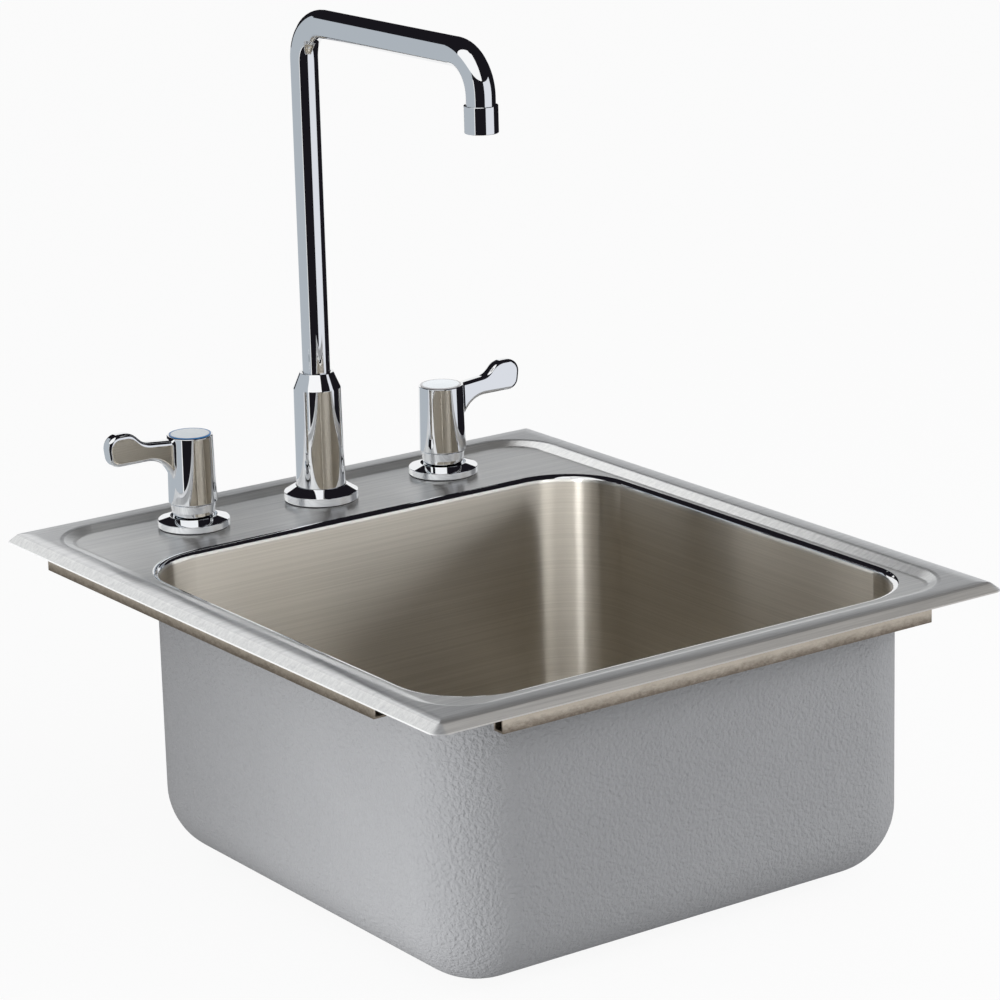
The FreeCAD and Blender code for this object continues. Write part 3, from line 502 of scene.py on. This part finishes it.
# %% Finishes on the pieces
for subpart in frame["record"]["subparts"]:
    slots = pieces[subpart["node"]].data.materials
    slots.clear()
    slots.append(finishes[subpart["material_slot"]])
for side in ("cold", "hot"):
    pieces[side + "_valve_body"].data.materials[0] = plated

# %% [markdown]
# ## Threads under the deck
#
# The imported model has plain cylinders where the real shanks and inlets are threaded. A thread is
# a small tooth carried round and round while it climbs. A ring for each turn would be simpler,
# but seen from the back it would not climb, so one triangle is spun with a step upwards. It goes
# a little into the cylinder, and its two ends are closed by the triangle itself.

# %% One thread
FAUCET_ROW_Y, VALVE_X = 0.198, 0.1016
TURN_STEPS, TOOTH_HEIGHT, TOOTH_BITE = 28, 0.00042, 0.0002


def link(name, work, material):
    """An object in the scene, from a bmesh and its material."""
    mesh = bpy.data.meshes.new(name)
    work.to_mesh(mesh)
    work.free()
    mesh.materials.append(material)
    made = bpy.data.objects.new(name, mesh)
    scene.collection.objects.link(made)
    return made


def thread(name, middle_x, radius, foot, top, pitch):
    """A thread of so many metres a turn on an upright cylinder of the faucet row."""
    turns = math.floor((top - foot) / pitch) - 1
    tooth = (
        (radius - TOOTH_BITE, foot),
        (radius + TOOTH_HEIGHT, foot + pitch / 2),
        (radius - TOOTH_BITE, foot + pitch),
    )
    work = bmesh.new()
    corners = [work.verts.new((middle_x + out, FAUCET_ROW_Y, up)) for out, up in tooth]
    start = work.faces.new(corners)
    bmesh.ops.spin(
        work, geom=[start, *start.edges, *corners], cent=(middle_x, FAUCET_ROW_Y, 0),
        axis=(0, 0, 1), dvec=(0, 0, pitch / TURN_STEPS), angle=math.tau * turns,
        steps=TURN_STEPS * turns, use_duplicate=False,
    )
    bmesh.ops.recalc_face_normals(work, faces=work.faces[:])
    open_edges = sum(len(edge.link_faces) != 2 for edge in work.edges)
    print(name, "with", turns, "turns and", open_edges, "open edges")
    return link(name, work, finishes["brass"])


print("a tooth is", 1000 * TOOTH_HEIGHT, "mm high")

# %% [markdown]
# ## Where the threads are
#
# The inlets take the nuts of the supply hoses. The shanks carry the nuts that clamp the valves
# and the spout to the deck, and show a few turns below them. All of them are turned into the
# brass pieces, so they belong to the sink's body.

# %% Threads on the inlets and shanks
INLET, VALVE_SHANK, SPOUT_SHANK = (
    # radius, foot, top and pitch
    (0.0104, -0.0942, -0.0712, 0.00181),
    (0.0159, -0.0330, -0.0118, 0.00220),
    (0.0127, -0.0292, -0.0118, 0.00200),
)
THREADS = {
    "cold_inlet_thread": (-VALVE_X, *INLET),
    "hot_inlet_thread": (VALVE_X, *INLET),
    "cold_shank_thread": (-VALVE_X, *VALVE_SHANK),
    "hot_shank_thread": (VALVE_X, *VALVE_SHANK),
    "spout_shank_thread": (0.0, *SPOUT_SHANK),
}
for name, measures in THREADS.items():
    piece = thread(name, *measures)
    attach(piece, "sink")
    heights = [corner[2] for corner in piece.bound_box]
    print("  from", round(min(heights), 4), "to", round(max(heights), 4))

# %% [markdown]
# ## World
#
# The world is white to the camera, and in reflections where no screen stands before it. Its light
# on matt pieces is weaker than that, because a world of full white would wash out their shading.
# A wall and a ceiling could do the same, but Light Path tells the kinds of ray apart by itself.

# %% World
WHITE, AMBIENT = (1.0, 1.0, 1.0), (0.55, 0.55, 0.56)


def light_path(tree, *names):
    """What Light Path says of a ray, the larger value where there are several names."""
    path = add(tree, "LightPath")
    value = path.outputs[names[0]]
    for name in names[1:]:
        value = maths(tree, "MAXIMUM", value, path.outputs[name])
    return value


world = bpy.data.worlds.new("white_studio")
scene.world = world
world.use_nodes = True
tree = world.node_tree
seen = light_path(tree, "Is Camera Ray", "Is Glossy Ray", "Is Transmission Ray")
tree.links.new(tree.nodes["Background"].inputs["Color"], tint(tree, seen, AMBIENT, WHITE))
print("ambient light of", AMBIENT)

# %% [markdown]
# ## Floor
#
# The floor is painted nearly white. For the camera most of it glows, as white paper does under a
# flash, and the rest keeps the sink's shadow. Under the open drain nothing glows, because there
# the floor is in the shade of the sink.

# %% Floor
FLOOR_SIZE, FLOOR_GAP, DRAIN_SHADE = 60.0, 0.0004, 0.058
FLOOR_PAINT, FLOOR_GLOW = (0.9, 0.9, 0.9, 1.0), 0.92

floor_level = cad_box[0].z - FLOOR_GAP
floor_finish, tree, shader = new_finish("floor_white", base_color=FLOOR_PAINT, roughness=0.9)
glow = add(tree, "Emission", values={"Color": (*WHITE, 1.0), "Strength": 1.0})
from_drain = places(tree, "DISTANCE", place_on(tree), (0.0, BOWL_MIDDLE_Y, floor_level))
share = maths(tree, "MULTIPLY", light_path(tree, "Is Camera Ray"), FLOOR_GLOW)
share = maths(tree, "MULTIPLY", share, maths(tree, "GREATER_THAN", from_drain, DRAIN_SHADE))
both = add(tree, "MixShader", {0: share, 1: shader.outputs[0], 2: glow.outputs[0]})
tree.links.new(tree.nodes["Material Output"].inputs["Surface"], both.outputs[0])

work = bmesh.new()
bmesh.ops.create_grid(work, x_segments=1, y_segments=1, size=FLOOR_SIZE / 2)
bmesh.ops.translate(work, verts=work.verts, vec=(0, 0, floor_level))
floor = link("floor", work, floor_finish)
floor.visible_glossy = False
print("floor at", round(floor_level, 4))

# %% [markdown]
# ## Tones of the screens
#
# A mirror shows nothing but its surroundings, so a photographer hangs dark and pale screens round
# chrome, and without them it would fade into the white. Brushed steel blurs its surroundings and
# gets a softer set. The bowl has two more: one for light that comes straight in over the rim, and
# one for light that has been from wall to wall before. A screen is given by the directions that
# it fills, in degrees, and a later one hides an earlier one.

# %% Tones of the screens
MIRROR_TONES = [
    # azimuth from and to, elevation from and to, tone
    (-180, 180, -90, 90, (0.010, 0.009, 0.012)),
    (148, 280, -90, 0, (0.44, 0.48, 0.52)),
    (190, 280, 0, 30, (0.44, 0.48, 0.52)),
    (280, 284, -90, 20, (1.0, 1.0, 1.0)),
    (-4, 56, -90, 28, (0.75, 0.77, 0.82)),
    (236, 350, 30, 84, (1.0, 1.0, 1.0)),
]
SATIN_TONES = [
    (-180, 180, -90, 90, (0.26, 0.26, 0.27)),
    (-98, 36, 0, 40, (1.20, 1.20, 1.20)),
    (36, 76, 0, 26, (0.90, 0.90, 0.90)),
    (-4, 76, -90, 0, (0.75, 0.75, 0.76)),
    (180, 262, -90, -4, (0.50, 0.49, 0.47)),
    (180, 262, -4, 26, (1.10, 1.10, 1.10)),
    (204, 262, 26, 64, (1.10, 1.10, 1.10)),
    (108, 150, -6, 26, (1.42, 1.43, 1.44)),
    (150, 168, -6, 26, (1.00, 1.01, 1.02)),
    (152, 172, 26, 64, (2.20, 2.18, 2.14)),
    (172, 204, 26, 64, (2.20, 2.17, 2.12)),
    (88, 146, 30, 76, (0.06, 0.06, 0.06)),
    (36, 88, 26, 76, (0.60, 0.56, 0.52)),
]
BOWL_TONES = [
    (-180, 180, -90, 90, (0.26, 0.26, 0.27)),
    (-4, 76, 0, 14, (4.40, 4.38, 4.32)),
    (-4, 76, 14, 32, (0.50, 0.50, 0.49)),
    (180, 262, -4, 64, (0.06, 0.06, 0.06)),
    (219, 226, -4, 26, (2.80, 2.78, 2.72)),
    (108, 168, -6, 26, (1.30, 1.30, 1.30)),
    (-98, -80, 0, 30, (0.80, 0.79, 0.77)),
    (-80, -66, 0, 30, (2.20, 2.17, 2.10)),
    (-66, -54, 0, 36, (8.50, 8.45, 8.30)),
    (-54, -14, 0, 30, (3.40, 3.36, 3.26)),
    (-14, 9, 0, 30, (4.40, 4.35, 4.22)),
]
LATER_TONES = [
    (-180, 180, -90, 90, (0.80, 0.77, 0.72)),
    (96, 190, -10, 76, (1.80, 1.76, 1.68)),
    (-80, 12, -10, 76, (0.34, 0.32, 0.29)),
]
TONES = {
    "mirror": MIRROR_TONES, "satin": SATIN_TONES, "bowl": BOWL_TONES, "later": LATER_TONES
}
print("screens:", {name: len(tones) for name, tones in TONES.items()})

# %% [markdown]
# ## Sphere of screens
#
# Many separate screens would shade each other, so one sphere carries them all, and each of its
# faces holds a tone from each set. A ray says which of them it sees: by being sharp or blurred,
# by the number of its bounces, and by the clear sheets of the bowl's lid that it has crossed.

# %% Material of the screens
LID_SHEETS, FIRST_BOUNCE = 3, 1


def empty_finish(name):
    """A material without any nodes, and its node tree. Its glow isn't searched as a lamp is."""
    material = bpy.data.materials.new(name)
    material.use_nodes = True
    material.node_tree.nodes.clear()
    material.cycles.emission_sampling = "NONE"
    return material, material.node_tree


screen_finish, tree = empty_finish("screen_tones")
mirror, satin, bowl, later = (
    add(tree, "Attribute", attribute_name=name).outputs["Color"] for name in TONES
)
sharp = light_path(tree, "Is Singular Ray")
bounced = maths(tree, "GREATER_THAN", light_path(tree, "Ray Depth"), FIRST_BOUNCE + 0.5)
sheets = light_path(tree, "Transparent Depth")
left_bowl = maths(tree, "GREATER_THAN", sheets, LID_SHEETS - 0.5)
blurred = tint(tree, left_bowl, satin, tint(tree, bounced, bowl, later))
glow = add(tree, "Emission", {"Color": tint(tree, sharp, blurred, mirror)})
add(tree, "OutputMaterial", {"Surface": glow.outputs[0]})
print("screens tell", len(TONES), "kinds of ray apart")

# %% [markdown]
# ## Building the sphere
#
# Steps of two degrees are fine enough for the straight edges of the screens. The sphere is hidden
# from the camera and casts no shadow, so that only reflections know of it.

# %% Sphere of screens
DOME_RADIUS, DOME_STEPS = 3.0, 180


def tone_towards(azimuth, elevation, tones):
    """The last screen of the list that fills this direction."""
    for west, east, low, high, tone in reversed(tones):
        if low <= elevation < high and any(west <= azimuth + turn < east for turn in (0, 360)):
            return (*tone, 1.0)


def reflections_only(obj):
    """Keep a screen out of everything but reflections."""
    for kind in ("camera", "diffuse", "transmission", "volume_scatter", "shadow"):
        setattr(obj, "visible_" + kind, False)


work = bmesh.new()
bmesh.ops.create_uvsphere(
    work, u_segments=DOME_STEPS, v_segments=DOME_STEPS // 2, radius=DOME_RADIUS
)
layers = {name: work.faces.layers.float_color.new(name) for name in TONES}
for face in work.faces:
    spot = face.calc_center_median().normalized()
    azimuth = math.degrees(math.atan2(spot.x, -spot.y))
    elevation = math.degrees(math.asin(spot.z))
    for name, tones in TONES.items():
        face[layers[name]] = tone_towards(azimuth, elevation, tones)
screens = link("screens", work, screen_finish)
reflections_only(screens)
print("sphere of", len(screens.data.polygons), "faces")

# %% [markdown]
# ## Lid over the bowl
#
# The bowl and the deck face the same screens, but a photographer lights the bowl by itself. A
# ray that leaves the bowl crosses three clear sheets that only reflections meet. They change
# nothing but the ray's count of clear surfaces, and the screens go by that count.

# %% Lid of clear sheets over the bowl
LID_HALF, LID_CORNER, LID_GAP = BOWL_HALF + LIP_RADIUS, BOWL_CORNER + LIP_RADIUS, 0.0003

lid_finish, tree = empty_finish("clear_sheet")
add(tree, "OutputMaterial", {"Surface": add(tree, "BsdfTransparent").outputs[0]})

work = bmesh.new()
for sheet in range(LID_SHEETS):
    made = bmesh.ops.create_grid(work, x_segments=1, y_segments=1, size=LID_HALF)
    level = DECK_TOP + LID_GAP * (1 + sheet / LID_SHEETS)
    bmesh.ops.translate(work, verts=made["verts"], vec=(0, BOWL_MIDDLE_Y, level))
bmesh.ops.bevel(
    work, geom=work.verts[:], offset=LID_CORNER, affect="VERTICES", segments=8, profile=0.5,
    material=-1,
)
lid = link("clear_lid", work, lid_finish)
reflections_only(lid)
print("lid of", len(lid.data.polygons), "clear sheets")

# %% [markdown]
# ## White card
#
# Chrome also needs something bright close by, because the straight edge of a near card bends
# with the shape of the piece. A card stands behind the sink, and the handles, the post and the
# polished edge of the bowl show it. Blurred rays pass through, so it doesn't change the steel.

# %% White card behind the sink
CARD_LEFT, CARD_RIGHT, CARD_FOOT, CARD_TOP = 0.05, 0.95, -0.25, 0.34
CARD_BACK, CARD_GLOW = 0.72, 0.92

card_finish, tree = empty_finish("card_white")
glow = add(tree, "Emission", values={"Color": (*WHITE, 1.0), "Strength": CARD_GLOW})
clear = add(tree, "BsdfTransparent")
sharp = light_path(tree, "Is Singular Ray")
both = add(tree, "MixShader", {0: sharp, 1: clear.outputs[0], 2: glow.outputs[0]})
add(tree, "OutputMaterial", {"Surface": both.outputs[0]})

card_size = (CARD_RIGHT - CARD_LEFT, CARD_TOP - CARD_FOOT, 1)
card_middle = ((CARD_LEFT + CARD_RIGHT) / 2, CARD_BACK, (CARD_FOOT + CARD_TOP) / 2)
work = bmesh.new()
bmesh.ops.create_grid(work, x_segments=1, y_segments=1, size=0.5)
bmesh.ops.scale(work, verts=work.verts, vec=card_size)
bmesh.ops.rotate(work, verts=work.verts, matrix=Matrix.Rotation(math.radians(90), 3, "X"))
bmesh.ops.translate(work, verts=work.verts, vec=card_middle)
reflections_only(link("white_card", work, card_finish))
print("card", CARD_BACK, "m behind the sink's middle")

# %% [markdown]
# ## Lamps
#
# Metal takes its light from the screens. Soft lamps light what is matt: a small one close to the
# left side, which leaves the front in half shade, and a large one farther off at the right of
# the front. They stay out of the mirrors, which would show them as bright squares.

# %% Lamps
LAMPS = {
    # name: place, aim, width, height, spread in degrees, watts
    "left_lamp": ((-0.90, -0.17, -0.09), (-0.18, -0.21, -0.15), 0.30, 0.16, 70, 0.7),
    "right_lamp": ((1.30, -1.09, 0.60), (0.0, 0.0, 0.0), 0.80, 0.80, 180, 12.0),
}
for name, (stand_at, aim_at, wide, high, spread_angle, watts) in LAMPS.items():
    lamp = bpy.data.lights.new(name, "AREA")
    lamp.energy, lamp.shape, lamp.size, lamp.size_y = watts, "RECTANGLE", wide, high
    lamp.spread = math.radians(spread_angle)
    stand = bpy.data.objects.new(name, lamp)
    stand.location = stand_at
    stand.rotation_mode = "QUATERNION"
    stand.rotation_quaternion = (Vector(stand_at) - Vector(aim_at)).to_track_quat("Z", "Y")
    stand.visible_glossy = False
    scene.collection.objects.link(stand)
print("lamps:", list(LAMPS))
